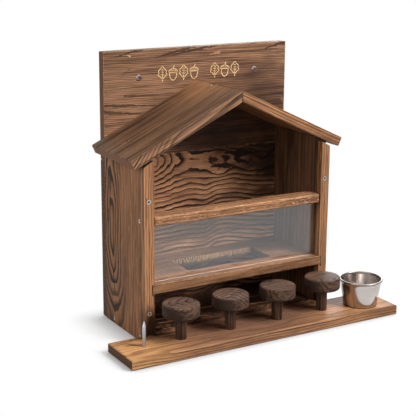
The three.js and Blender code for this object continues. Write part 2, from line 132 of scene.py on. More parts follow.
class Shading:
    """The nodes of one material or of the world, with a short call for each kind that is used here."""

    def __init__(self, owner, output="ShaderNodeOutputMaterial"):
        owner.use_nodes = True
        self.owner = owner
        self.tree = owner.node_tree
        self.tree.nodes.clear()
        self.output = self.node(output)

    def feed(self, socket, value):
        if isinstance(value, bpy.types.NodeSocket):
            self.tree.links.new(value, socket)
        elif value is not None:
            socket.default_value = value

    def node(self, kind, inputs=(), **settings):
        """A node with its settings. inputs feeds its sockets, in their order or by their names."""
        node = self.tree.nodes.new(kind)
        for key, value in settings.items():
            setattr(node, key, value)
        chosen = inputs if isinstance(inputs, dict) else dict(enumerate(inputs))
        for key, value in chosen.items():
            self.feed(node.inputs[key], value)
        return node

    def math(self, operation, a, b=None, clamp=False):
        return self.node("ShaderNodeMath", (a, b), operation=operation, use_clamp=clamp).outputs[0]

    def plus(self, a, b, clamp=False):
        return self.math("ADD", a, b, clamp)

    def minus(self, a, b):
        return self.math("SUBTRACT", a, b)

    def times(self, a, b, clamp=False):
        return self.math("MULTIPLY", a, b, clamp)

    def vector(self, operation, a, b=None):
        node = self.node("ShaderNodeVectorMath", (a, b), operation=operation)
        return node.outputs["Value" if operation in ("LENGTH", "DOT_PRODUCT") else "Vector"]

    def length(self, vector, scale):
        """The length of a vector that is scaled in each direction."""
        return self.vector("LENGTH", self.vector("MULTIPLY", vector, scale))

    def combine(self, x, y, z):
        return self.node("ShaderNodeCombineXYZ", (x, y, z)).outputs[0]

    def object_place(self):
        return self.node("ShaderNodeTexCoord").outputs["Object"]

    def object_place_mm(self):
        return self.vector("MULTIPLY", self.object_place(), (1 / MM,) * 3)

    def noise(self, vector, detail=2, roughness=0.5, scale=1):
        inputs = {"Vector": vector, "Scale": scale, "Detail": detail, "Roughness": roughness}
        return self.node("ShaderNodeTexNoise", inputs).outputs

    def spread(self, value, low, high, to_low=0, to_high=1, smooth=False):
        kind = "SMOOTHSTEP" if smooth else "LINEAR"
        inputs = {"Value": value, "From Min": low, "From Max": high, "To Min": to_low, "To Max": to_high}
        return self.node("ShaderNodeMapRange", inputs, interpolation_type=kind).outputs["Result"]

    def vary(self, value, low, high):
        """A noise's value, spread between two levels."""
        return self.spread(value, NOISE_LOW, NOISE_HIGH, low, high)

    def ramp(self, value, stops):
        """Levels between stops, each of them a place from 0 to 1 and a level."""
        node = self.node("ShaderNodeValToRGB", (value,))
        elements = node.color_ramp.elements
        while len(elements) < len(stops):
            elements.new(0.5)
        for element, (place, level) in zip(elements, stops):
            element.position = place
            element.color = grey(level)
        return node.outputs["Color"]

    def mix(self, share, a, b, blend="MIX"):
        inputs = {0: share, 6: a, 7: b}
        return self.node("ShaderNodeMix", inputs, data_type="RGBA", blend_type=blend).outputs[2]

    def shade(self, colour, level):
        """A colour times a level, which is a number or changes over the surface."""
        if isinstance(level, bpy.types.NodeSocket):
            return self.mix(1, colour, self.combine(level, level, level), "MULTIPLY")
        return self.mix(1, colour, grey(level), "MULTIPLY")

    def bump(self, strength, distance, height, normal=None):
        inputs = {"Strength": strength, "Distance": distance, "Height": height, "Normal": normal}
        return self.node("ShaderNodeBump", inputs).outputs[0]

    def rounded(self, radius, samples):
        """The normal that the surface would have with its edges rounded."""
        return self.node("ShaderNodeBevel", {"Radius": radius}, samples=samples).outputs[0]

    def diffuse(self, colour):
        return self.node("ShaderNodeBsdfDiffuse", {"Color": colour}).outputs[0]

    def glow(self, strength):
        return self.node("ShaderNodeEmission", {"Strength": strength}).outputs[0]

    def surface(self, **values):
        """A principled shader. An underscore in a name stands for a space."""
        inputs = {name.replace("_", " "): value for name, value in values.items()}
        return self.node("ShaderNodeBsdfPrincipled", inputs).outputs[0]

    def blend(self, share, a, b):
        """A mix of two shaders."""
        return self.node("ShaderNodeMixShader", (share, a, b)).outputs[0]

    def finish(self, shader):
        self.feed(self.output.inputs["Surface"], shader)
        return self.owner


# Wood. A board's own directions are along the grain, across it and through its thickness.

# scorch is the darkest char, which the torch lays; zones and marks below also lay it where they paint shade.
# TORCHED's glow is laid only as a painted highlight on the roof.
TORCHED = {
    "light": "b98a66", "body": "926a4f", "grey": "765a4a", "line": "35241b", "scorch": "1c120d",
    "worn": "b38c68", "end": "6e4a34", "fleck": "e0c19a", "glow": "f0b07c",
}
PALE = {
    "light": "cb956a", "body": "ad7a55", "grey": "8d6750", "line": "553523", "scorch": "26180f",
    "worn": "dcae7c", "end": "543623", "fleck": "dfbd98", "glow": "f2b578",
}
WARM = {**TORCHED, "light": "c98f63", "body": "9c6c49", "grey": "80593f"}
STOOL = {
    "light": "94705a", "body": "6c5141", "grey": "54423a", "line": "2a1c16", "scorch": "150e0b",
    "end": "46342a", "fleck": "b59676",
}

# What a board has where its own call says nothing else
WOOD_DEFAULTS = {
    "tone": TORCHED, "seed": 0,
    # The ring field
    "spacing": 4, "pith": 0, "depth": 30, "base": (), "opening": (), "wave": (70, 26, 3), "wobble": 0.35,
    "knots": (),
    # Latewood lines: how dark they are, where they end, and the course of each of them
    "lines": 0.9, "flank_lines": None, "reach": (), "shape": "thin",
    # How much there is of each thing that the torch and the saw leave
    "fine": 0.5, "streaks": 0.4, "fibres": 0.35, "flecks": 0, "char": 0.4, "greying": 0.3,
    "flank_dark": 0, "end_lines": 0.3, "end_dark": 0, "arris": 0,
    # The level of the wide faces, of the flanks and of the face that looks the other way
    "bright": 1, "flank_bright": None, "far_bright": None,
    # Single places
    "extent": (), "zones": (), "marks": (), "seams": (), "sawn_wall": (),
}

# The darkness of a ring from where it starts to where it ends
LINE_SHAPES = {
    "thin": ((0, 0), (0.45, 0.03), (0.7, 0.45), (0.84, 1), (0.95, 1), (1, 0)),
    "bold": ((0, 0), (0.3, 0.04), (0.55, 0.42), (0.68, 0.96), (0.94, 1), (1, 0)),
    "torn": ((0, 0), (0.36, 0.03), (0.62, 0.3), (0.8, 0.92), (0.97, 1), (1, 0)),
}
KNOT_SHAPE = ((0, 0.55), (0.6, 0.95), (1, 0.6))

# The sizes of the noises along a board, across it and through it, and how far a seed moves them
WOBBLE_MM = (15, 6, 6)
RAGGED_MM = (7, 2.4, 2.4)
PATCH_MM = (45, 14, 14)
STREAK_MM = (170, 3.2, 3.2)
THIN_MM = (90, 1.3, 1.3)
FIBRE_MM = (24, 0.8, 0.8)
TORCH_MM = (110, 22, 22)
SAW_MM = (4, 4, 14)
FLECK_MM = (5, 0.9, 0.9)
PORE_MM = (0.7, 0.7, 0.7)
SEED_MM = (131, 57, 23)

# How far apart the strokes of a saw are, and how much of an edge is worn
SAW_STROKE_MM = 1.25
EDGE_WEAR = 0.5

# Radii of a worn arris and of an eased edge, the depth of the relief, and how glossy the oil is
ARRIS_RADIUS = 0.0013
EASED_RADIUS = 0.0007
RELIEF_STRENGTH = 0.45
RELIEF_DEPTH = 0.0003
OIL_SPECULAR = 0.14
OIL_ROUGHNESS = (0.50, 0.68)


def wood(name, along, across, face, **changes):
    """The material of one board.

    The growth rings lie in space round a pith line. pith is where that line runs across the board, and depth
    how far it lies behind the face: each is a number, or pairs of a place along the grain and a value. So
    the rings cut the face as lines, waves or nested points. base adds to the distance, and opening keeps the
    rings off the pith line, both as pairs. A knot pushes the rings aside.
    """
    p = SimpleNamespace(**{**WOOD_DEFAULTS, **changes})
    tone = {key: linear(value) for key, value in p.tone.items()}
    s = Shading(bpy.data.materials.new(name))
    position = s.object_place()
    normal = s.node("ShaderNodeNewGeometry").outputs["Normal"]
    axes = (along, across, along.cross(across))
    place = [s.vector("DOT_PRODUCT", position, tuple(axis / MM)) for axis in axes]
    board = s.combine(*place)
    seeded = s.vector("ADD", board, tuple(p.seed * step for step in SEED_MM))

    def field(sizes_mm, source=seeded, detail=2, roughness=0.5):
        """A noise with these sizes along the board, across it and through it."""
        return s.noise(s.vector("MULTIPLY", source, tuple(1 / size for size in sizes_mm)), detail, roughness)

    def pushed(point, sizes_mm, amount_mm, detail=2):
        """A point that a noise pushes across the board and through it."""
        centred = s.vector("SUBTRACT", field(sizes_mm, detail=detail)["Color"], (0.5, 0.5, 0.5))
        return s.vector("ADD", point, s.vector("MULTIPLY", centred, (0, 2 * amount_mm, 2 * amount_mm)))

    def along_board(values, smooth=False):
        """A value along the board: one number, or pairs of a place and a value, smooth from three on."""
        pairs = values if isinstance(values, tuple) else ((0, values),)
        value = pairs[0][1]
        for (start, low), (end, high) in zip(pairs, pairs[1:]):
            part = s.spread(place[0], start, end, 0, high - low, smooth or len(pairs) > 2)
            value = s.plus(value, part)
        return value

    def facing(axis, low):
        """1 where the surface looks along a direction or against it, and 0 well away from it."""
        return s.spread(s.math("ABSOLUTE", s.vector("DOT_PRODUCT", normal, tuple(axis))), low, 0.9)

    # The board's wide faces and its end grain. A face that is neither is a flank.
    wide = facing(axes[2], 0.6)
    end = facing(along, 0.75)

    def by_face(flank, on_wide):
        return s.spread(wide, 0, 1, flank, on_wide)

    # The ring field, with the waves and wobbles of the grain and the knots that push it
    long_mm, wide_mm, amount_mm = p.wave
    waved = pushed(seeded, (long_mm, wide_mm, wide_mm), amount_mm, detail=1)
    waved = pushed(waved, WOBBLE_MM, p.wobble)
    moved = s.vector("SUBTRACT", waved, s.vector("SUBTRACT", seeded, board))
    moved = s.node("ShaderNodeSeparateXYZ", (moved,)).outputs
    off_pith = s.minus(moved[1], along_board(p.pith))
    from_pith = s.plus(s.minus(moved[2], face), along_board(p.depth))
    clear_of = off_pith
    if p.opening:
        clear_of = s.minus(s.math("ABSOLUTE", off_pith), along_board(p.opening, smooth=True))
        clear_of = s.math("MAXIMUM", clear_of, 0)
    rings = s.vector("LENGTH", s.combine(clear_of, from_pith, 0))
    lowest = s.math("ABSOLUTE", from_pith)
    if p.base:
        base = along_board(p.base, smooth=True)
        rings = s.plus(rings, base)
        lowest = s.plus(lowest, base)
    rings = s.math("DIVIDE", rings, p.spacing)
    ragged = field(RAGGED_MM, detail=3)["Fac"]
    knots = []
    for u, v, radius, reach_u, reach_v, push in p.knots:
        offset = s.vector("SUBTRACT", s.combine(place[0], moved[1], 0), (u, v, 0))
        swell = s.math("POWER", s.length(offset, (1 / reach_u, 1 / reach_v, 0)), 2)
        rings = s.minus(rings, s.times(s.math("EXPONENT", s.times(swell, -1)), push))
        away = s.plus(s.length(offset, (0.75, 1, 0)), s.vary(ragged, -0.9 * radius, 0.9 * radius))
        knots.append((away, radius))
    if knots:
        rings = s.math("MAXIMUM", rings, s.math("DIVIDE", lowest, p.spacing))

    # Latewood lines: dark towards one side, sharp at the other, and not all alike
    within = s.math("FRACT", rings)
    if p.shape == "torn":
        within = s.minus(1, within)
    profile = s.ramp(within, LINE_SHAPES[p.shape])
    own = s.noise(s.combine(s.math("FLOOR", rings), p.seed, 0), detail=0, scale=0.83)["Fac"]
    patch = field(PATCH_MM)["Fac"]
    level = s.times(s.vary(own, 0.55, 1.2), s.vary(patch, 0.75, 1.2))
    strength = p.lines if p.flank_lines is None else by_face(p.flank_lines, p.lines)
    line = s.times(profile, s.times(level, strength), clamp=True)
    if p.reach:
        span, rest = p.reach
        aside = s.math("ABSOLUTE", off_pith)
        line = s.times(line, s.spread(aside, span, span * 1.4, 1, rest, smooth=True))

    # Lengthwise streaks, sparse thin dark lines, fine fibres and the unevenness of the torch
    streak = s.spread(field(STREAK_MM, waved, 3, 0.6)["Fac"], 0.36, 0.64, -1, 1)
    thin = s.spread(field(THIN_MM, waved, 2, 0.65)["Fac"], 0.50, 0.64)
    fibre = s.vary(field(FIBRE_MM, waved, 2, 0.6)["Fac"], -1, 1)
    torch = field(TORCH_MM, waved, 3, 0.55)["Fac"]

    # Each ring is light where it starts and browner towards its line
    fading = -0.6 * min(1, 0.15 + 1.5 * p.lines)
    ring_tone = s.plus(s.spread(patch, 0.35, 0.65, -0.1, 0.6), s.times(within, fading))
    colour = s.mix(s.plus(ring_tone, 0.45, clamp=True), tone["body"], tone["light"])

    def lay(share, kind):
        """Lays one of the board's tones over its colour."""
        nonlocal colour
        colour = s.mix(share, colour, tone[kind])

    lay(s.times(s.spread(torch, 0.30, 0.54, 1, 0, smooth=True), p.greying), "grey")
    lay(s.times(s.math("MAXIMUM", streak, 0), p.streaks, clamp=True), "line")
    lay(s.times(s.math("MINIMUM", streak, 0), -0.8 * p.streaks, clamp=True), "light")
    lay(s.times(s.spread(torch, 0.48, 0.70, smooth=True), p.char), "scorch")

    # Zones that are lighter or darker, with soft edges, and the grain over them. Some zones paint shade or a
    # highlight.
    for kind, u, v, reach_u, reach_v, amount in p.zones:
        offset = s.vector("SUBTRACT", board, (u, v, 0))
        near = s.plus(s.length(offset, (1 / reach_u, 1 / reach_v, 0)), s.vary(patch, -0.25, 0.25))
        lay(s.spread(near, 0.2, 1.2, amount, 0, smooth=True), kind)
    lay(s.times(thin, p.fine), "line")
    lay(line, "line")
    colour = s.shade(colour, s.plus(1, s.times(fibre, p.fibres * 0.5)))

    # Knots: a dark eye with its own rings
    for away, radius in knots:
        inside = s.spread(away, radius * 0.5, radius * 1.05, 1, 0, smooth=True)
        eye = s.math("FRACT", s.math("DIVIDE", away, radius * 0.45))
        lay(s.times(inside, s.ramp(eye, KNOT_SHAPE)), "scorch")

    # Marks: strokes on the wide faces that taper from a start to an end, with torn edges. Some strokes paint
    # shadows, shade or lit strips.
    for kind, *strokes in p.marks:
        for u, v, to_u, to_v, half, amount in strokes:
            step = Vector((to_u - u, to_v - v, 0))
            flat = s.vector("MULTIPLY", s.vector("SUBTRACT", board, (u, v, 0)), (1, 1, 0))
            share = s.vector("DOT_PRODUCT", flat, tuple(step))
            share = s.math("DIVIDE", share, step.length_squared, clamp=True)
            foot = s.vector("MULTIPLY", s.combine(share, share, share), tuple(step))
            away = s.vector("LENGTH", s.vector("SUBTRACT", flat, foot))
            away = s.math("DIVIDE", away, s.spread(share, 0, 1, half, half * 0.3))
            away = s.plus(away, s.vary(ragged, -0.45, 0.45))
            lay(s.times(s.spread(away, 0.75, 1.05, amount, 0, smooth=True), wide), kind)

    # A sawn wall inside the board, pale where the saw tore its upper part
    if p.sawn_wall:
        wall_v, wall_low = p.sawn_wall
        uneven = field(SAW_MM)["Fac"]
        saw = s.math("PINGPONG", s.plus(place[0], s.vary(uneven, -1.5, 1.5)), SAW_STROKE_MM)
        height = s.plus(place[2], s.vary(uneven, -2.5, 1.5))
        torn = s.times(s.spread(saw, 0.25, 0.8), s.spread(height, wall_low, wall_low + 2.5, 0, 0.95))
        on_wall = s.spread(s.math("ABSOLUTE", s.minus(place[1], wall_v)), 0.2, 0.6, 1, 0)
        colour = s.mix(s.times(on_wall, by_face(1, 0)), colour, s.mix(torn, tone["line"], tone["worn"]))

    # Small torn flecks of bare wood
    if p.flecks:
        lay(s.spread(field(FLECK_MM, detail=1)["Fac"], 0.65, 0.69, 0, p.flecks), "fleck")

    # Joints that show as dark lines: a direction, where along it, and half the line's width
    for axis, where, half in p.seams:
        gap = s.math("ABSOLUTE", s.minus(s.vector("DOT_PRODUCT", position, tuple(axis / MM)), where))
        lay(s.spread(gap, half * 0.6, half * 1.3, 0.95, 0, smooth=True), "scorch")

    # Flanks that the torch caught more, and end grain
    if p.flank_dark:
        lay(by_face(p.flank_dark, 0), "scorch")
    end_tone = s.mix(s.spread(field(PORE_MM)["Fac"], 0.35, 0.65, 0, 0.5), tone["end"], tone["line"])
    end_tone = s.mix(s.times(profile, p.end_lines), end_tone, tone["line"])
    if p.end_dark:
        end_tone = s.mix(p.end_dark, end_tone, tone["scorch"])
    colour = s.mix(s.times(end, 0.95), colour, end_tone)

    # Worn edges: from the faces of a board that is a straight box, or else from how the surface bends
    if p.extent:
        gaps = []
        for value, (low, high) in zip(place, p.extent):
            gaps.append(s.math("MINIMUM", s.minus(value, low), s.minus(high, value)))
        near_two = s.math("MAXIMUM", gaps[0], gaps[1])
        second = s.math("MAXIMUM", s.math("MINIMUM", gaps[0], gaps[1]), s.math("MINIMUM", near_two, gaps[2]))
        worn = s.minus(second, s.vary(ragged, -1, 1.3))
        lay(s.spread(worn, 0, 0.8, EDGE_WEAR, 0, smooth=True), "worn")
    elif p.arris:
        bent = s.minus(1, s.vector("DOT_PRODUCT", s.rounded(ARRIS_RADIUS, 6), normal))
        bent = s.times(s.spread(bent, 0.01, 0.12), s.spread(ragged, 0.35, 0.6, 0.25, 1))
        lay(s.times(bent, p.arris), "worn")

    # How bright the board is: all over, by its faces, or on its far side. Lower levels paint shade on the
    # right panel's inner face and on the right strip.
    if p.flank_bright is not None:
        colour = s.shade(colour, by_face(p.flank_bright, p.bright))
    elif p.far_bright is not None:
        front = s.vector("DOT_PRODUCT", normal, tuple(axes[2]))
        colour = s.shade(colour, s.spread(front, -0.9, 0, p.far_bright, p.bright))
    elif p.bright != 1:
        colour = s.shade(colour, p.bright)

    # Relief: brushed latewood stands, fibres are cut, edges are eased
    height = s.minus(s.plus(s.times(line, 0.6), s.times(fibre, 0.25)), s.times(thin, 0.35))
    height = s.times(height, s.minus(1, end))
    bump = s.bump(RELIEF_STRENGTH, RELIEF_DEPTH, height, s.rounded(EASED_RADIUS, 4))
    rough = s.spread(s.plus(line, s.times(fibre, 0.3)), -0.3, 1.2, *OIL_ROUGHNESS)
    shader = s.surface(Base_Color=colour, Roughness=rough, Normal=bump, Specular_IOR_Level=OIL_SPECULAR)
    return s.finish(shader)


def board_extent(node, along, across):
    """Where a board's faces are in its own directions, in millimetres, from the points of its solid."""
    axes = (along, across, along.cross(across))
    points = [vertex.co / MM for vertex in NODES[node].data.vertices]
    return [(min(point.dot(a) for point in points), max(point.dot(a) for point in points)) for a in axes]


def dress(node, material):
    """Gives a CAD node its material, in every slot that it has."""
    obj = NODES[node]
    if not obj.material_slots:
        obj.data.materials.append(material)
    for slot in obj.material_slots:
        slot.material = material


def dress_board(node, along, across, straight=True, **changes):
    extent = board_extent(node, along, across)
    if straight:
        changes["extent"] = extent
    dress(node, wood("wood_" + node, along, across, extent[2][1], **changes))


# Metals and the pane

METAL_SHADE = 0.84
TOOL_MARK_STRENGTH = 0.12
TOOL_MARK_DEPTH = 0.00008
PANE_TINT = (0.97, 0.98, 0.98, 1)
PANE_SHADOW = (0.92, 0.93, 0.93, 1)
PANE_HAZE = (0.40, 0.38, 0.36, 1)
PANE_IOR = 1.66
DUST_MM = (40, 40, 25)


def steel(name, tint, roughness, marks_mm, cloud_mm, anisotropic=0):
    """A metal with fine tool marks: marks_mm gives how long they are in each direction."""
    s = Shading(bpy.data.materials.new(name))
    place = s.object_place_mm()
    fine = s.noise(s.vector("MULTIPLY", place, tuple(1 / size for size in marks_mm)), detail=3)["Fac"]
    cloud = s.noise(s.vector("MULTIPLY", place, (1 / cloud_mm,) * 3))["Fac"]
    base = linear(tint)
    darker = tuple(c * METAL_SHADE for c in base[:3]) + (1,)
    shader = s.surface(
        Base_Color=s.mix(s.spread(cloud, 0.35, 0.7), base, darker),
        Metallic=1,
        Roughness=s.plus(s.vary(fine, -0.06, 0.06), s.vary(cloud, roughness - 0.04, roughness + 0.05)),
        Anisotropic=anisotropic,
        Normal=s.bump(TOOL_MARK_STRENGTH, TOOL_MARK_DEPTH, fine),
    )
    return s.finish(shader)


def clear_pane(name):
    """Clear acrylic: a slab that mirrors at both faces, lets the lamps shine through and has a haze."""
    s = Shading(bpy.data.materials.new(name))
    place = s.vector("MULTIPLY", s.object_place_mm(), tuple(1 / size for size in DUST_MM))
    dust = s.noise(place, detail=4)["Fac"]
    normal = s.node("ShaderNodeNewGeometry").outputs["Normal"]
    sawn = s.spread(s.math("ABSOLUTE", s.vector("DOT_PRODUCT", normal, tuple(Y))), 0.5, 0.9, 1, 0)
    glass = s.surface(
        Base_Color=PANE_TINT,
        Roughness=s.plus(s.vary(dust, 0.008, 0.02), s.times(sawn, 0.5)),
        IOR=PANE_IOR,
        Transmission_Weight=1,
    )
    clear = s.node("ShaderNodeBsdfTransparent", {"Color": PANE_SHADOW}).outputs[0]
    through = s.blend(s.node("ShaderNodeLightPath").outputs["Is Shadow Ray"], glass, clear)
    veil = s.plus(s.vary(dust, 0.006, 0.014), s.times(sawn, 0.7))
    return s.finish(s.blend(veil, through, s.diffuse(PANE_HAZE)))


# Building pieces

CROSS_REACH_SHARE = 0.66
CROSS_WIDTH_SHARE = 0.26
CROSS_DEPTH_SHARE = 0.6
SCREW_POINT_MM = 2.5


def piece(name, bm, material, body="housing", replaces=(), smooth=60):
    """Turns a bmesh in millimetres into a piece that rides on a body. smooth is an angle in degrees."""
    bmesh.ops.scale(bm, vec=(MM, MM, MM), verts=bm.verts)
    bmesh.ops.recalc_face_normals(bm, faces=bm.faces)
    mesh = bpy.data.meshes.new(name)
    bm.to_mesh(mesh)
    bm.free()
    mesh.materials.append(material)
    mesh.shade_smooth()
    mesh.set_sharp_from_angle(angle=math.radians(smooth))
    obj = bpy.data.objects.new(name, mesh)
    bpy.context.scene.collection.objects.link(obj)
    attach(obj, body)
    if replaces:
        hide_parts(*replaces)
    return obj


def turned(bm, profile, steps, place, axis=Z, shape=None):
    """Turns a profile of (radius, height) points about an axis through place. shape may change a point."""
    toward = axis.normalized()
    side = Z.cross(toward)
    side = X if side.length < 0.5 else side.normalized()
    other = toward.cross(side)
    rows = []
    for row, (radius, height) in enumerate(profile):
        ring = []
        if radius < 1e-6:
            ring = [bm.verts.new(Vector(place) + toward * height)]
        else:
            for i in range(steps):
                angle = 2 * math.pi * i / steps
                r, h = shape(row, angle, radius, height) if shape else (radius, height)
                out = side * math.cos(angle) + other * math.sin(angle)
                ring.append(bm.verts.new(Vector(place) + toward * h + out * r))
        rows.append(ring)
    for a, b in zip(rows, rows[1:]):
        for i in range(steps):
            j = (i + 1) % steps
            corners = [a[i % len(a)], a[j % len(a)], b[j % len(b)], b[i % len(b)]]
            unique = list(dict.fromkeys(corners))
            if len(unique) > 2:
                bm.faces.new(unique)


def arc(centre, radius, start, end, steps):
    """Points on an arc of a profile, with its angles in degrees."""
    points = []
    for i in range(steps + 1):
        angle = math.radians(start + (end - start) * i / steps)
        points.append((centre[0] + radius * math.cos(angle), centre[1] + radius * math.sin(angle)))
    return points


def cross_depth(x, y, reach, width, depth):
    """How deep a cross recess is at a point of a screw head."""
    arm = min(abs(x), abs(y))
    length = max(abs(x), abs(y))
    if arm > width or length > reach:
        return 0
    return depth * (1 - (length / reach) ** 2 * 0.6) * min(1, (width - arm) / (width * 0.35))


def screw(name, node, axis, materials, turn, dome, shank_radius, head_depth):
    """A cross-headed screw along axis, which points out of the wood, in the place of its CAD node.

    materials are those of the screw and of its recess, whose darker steel paints the recess's shade, and
    turn is how far the recess is turned.
    """
    low, high = box_of(node)
    centre = (low + high) / 2
    half = (high - low) / 2
    long_half = abs(half.dot(axis))
    radius = sorted(half)[0]
    top = centre + axis * long_half
    length = 2 * long_half
    head_rows = 14
    profile = []
    for i in range(head_rows + 1):
        share = i / head_rows
        profile.append((radius * share, -dome * (share**2.2)))
    profile += [(radius, -dome - 0.15), (radius * 0.96, -dome - 0.35)]
    profile += [(shank_radius, -dome - head_depth), (shank_radius, SCREW_POINT_MM - length), (0, -length)]
    reach = radius * CROSS_REACH_SHARE
    width = radius * CROSS_WIDTH_SHARE
    depth = radius * CROSS_DEPTH_SHARE

    def recessed(row, angle, r, h):
        if row > head_rows:
            return r, h
        a = angle + turn
        return r, h - cross_depth(r * math.cos(a), r * math.sin(a), reach, width, depth)

    bm = bmesh.new()
    turned(bm, profile, 40, top, axis, recessed)
    for face in bm.faces:
        offset = face.calc_center_median() - top
        height = offset.dot(axis)
        out = (offset - axis * height).length
        if out < reach and height < -dome * (out / radius) ** 2.2 - 0.5 * depth:
            face.material_index = 1
    obj = piece(name, bm, materials[0], replaces=(node,), smooth=35)
    obj.data.materials.append(materials[1])


# Camera


def set_camera():
    data = bpy.data.cameras.new("camera")
    data.lens = CAMERA_LENS_MM
    data.sensor_width = CAMERA_SENSOR_MM
    data.sensor_fit = "HORIZONTAL"
    data.shift_x, data.shift_y = CAMERA_SHIFT
    data.clip_start = CAMERA_NEAR
    camera = bpy.data.objects.new("camera", data)
    back = -CAMERA_FORWARD.normalized()
    right = CAMERA_UP.cross(back).normalized()
    up = back.cross(right)
    turn = Matrix((right, up, back)).transposed().to_4x4()
    camera.matrix_world = Matrix.Translation(Vector(CAMERA_PLACE_MM) * MM) @ turn
    bpy.context.scene.collection.objects.link(camera)
    bpy.context.scene.camera = camera


# Light and floor


def lamp(name, toward, level, distance, size, colour):
    data = bpy.data.lights.new(name, "AREA")
    data.shape = "SQUARE"
    data.size = size
    data.energy = level * math.pi**2 * distance**2
    data.color = colour
    obj = bpy.data.objects.new(name, data)
    out = Vector(toward).normalized()
    obj.location = LAMP_AIM + out * distance
    obj.rotation_euler = out.to_track_quat("Z", "Y").to_euler()
    bpy.context.scene.collection.objects.link(obj)


def white_seen(s):
    """1 for the rays that show the background: those of the camera, of gloss and through the pane."""
    path = s.node("ShaderNodeLightPath").outputs
    seen = s.math("MAXIMUM", path["Is Camera Ray"], path["Is Glossy Ray"])
    return s.math("MAXIMUM", seen, path["Is Transmission Ray"])


def set_world():
    world = bpy.data.worlds.new("studio")
    bpy.context.scene.world = world
    s = Shading(world, "ShaderNodeOutputWorld")
    strength = s.spread(white_seen(s), 0, 1, FILL_LEVEL, 1)
    background = s.node("ShaderNodeBackground", {"Color": grey(1), "Strength": strength})
    s.finish(background.outputs[0])


def floor_white():
    """White as the camera sees it, apart from the object's shadow near the object and a contact shade
    painted by dimming the glow where the object is close.
    """
    s = Shading(bpy.data.materials.new("floor_white"))
    # Ambient occlusion dims the glow near the object: a painted contact shade.
    corner = s.node("ShaderNodeAmbientOcclusion", {"Distance": CONTACT_SHADE_REACH}, samples=8)
    lit = s.glow(s.spread(corner.outputs["AO"], 0.40, 1, CONTACT_SHADE_GLOW, OPEN_GLOW))
    near = s.node("ShaderNodeAddShader", (s.diffuse(grey(FLOOR_GREY)), lit)).outputs[0]
    place = s.object_place()
    away = None
    for centre, half in SHADOW_AREAS:
        beyond = s.vector("SUBTRACT", s.vector("ABSOLUTE", s.vector("SUBTRACT", place, centre)), half)
        beyond = s.vector("LENGTH", s.vector("MAXIMUM", beyond, (0, 0, 0)))
        away = beyond if away is None else s.math("MINIMUM", away, beyond)
    shown = s.blend(s.spread(away, 0, SHADOW_FADE, smooth=True), near, s.glow(1))
    return s.finish(s.blend(white_seen(s), s.diffuse(grey(FLOOR_BOUNCE)), shown))


def set_floor():
    bm = bmesh.new()
    bmesh.ops.create_circle(bm, cap_ends=True, cap_tris=False, segments=96, radius=FLOOR_RADIUS)
    mesh = bpy.data.meshes.new("floor")
    bm.to_mesh(mesh)
    bm.free()
    floor = bpy.data.objects.new("floor", mesh)
    floor.location = (0, 0, -FLOOR_DROP)
    bpy.context.scene.collection.objects.link(floor)
    mesh.materials.append(floor_white())


# Boards


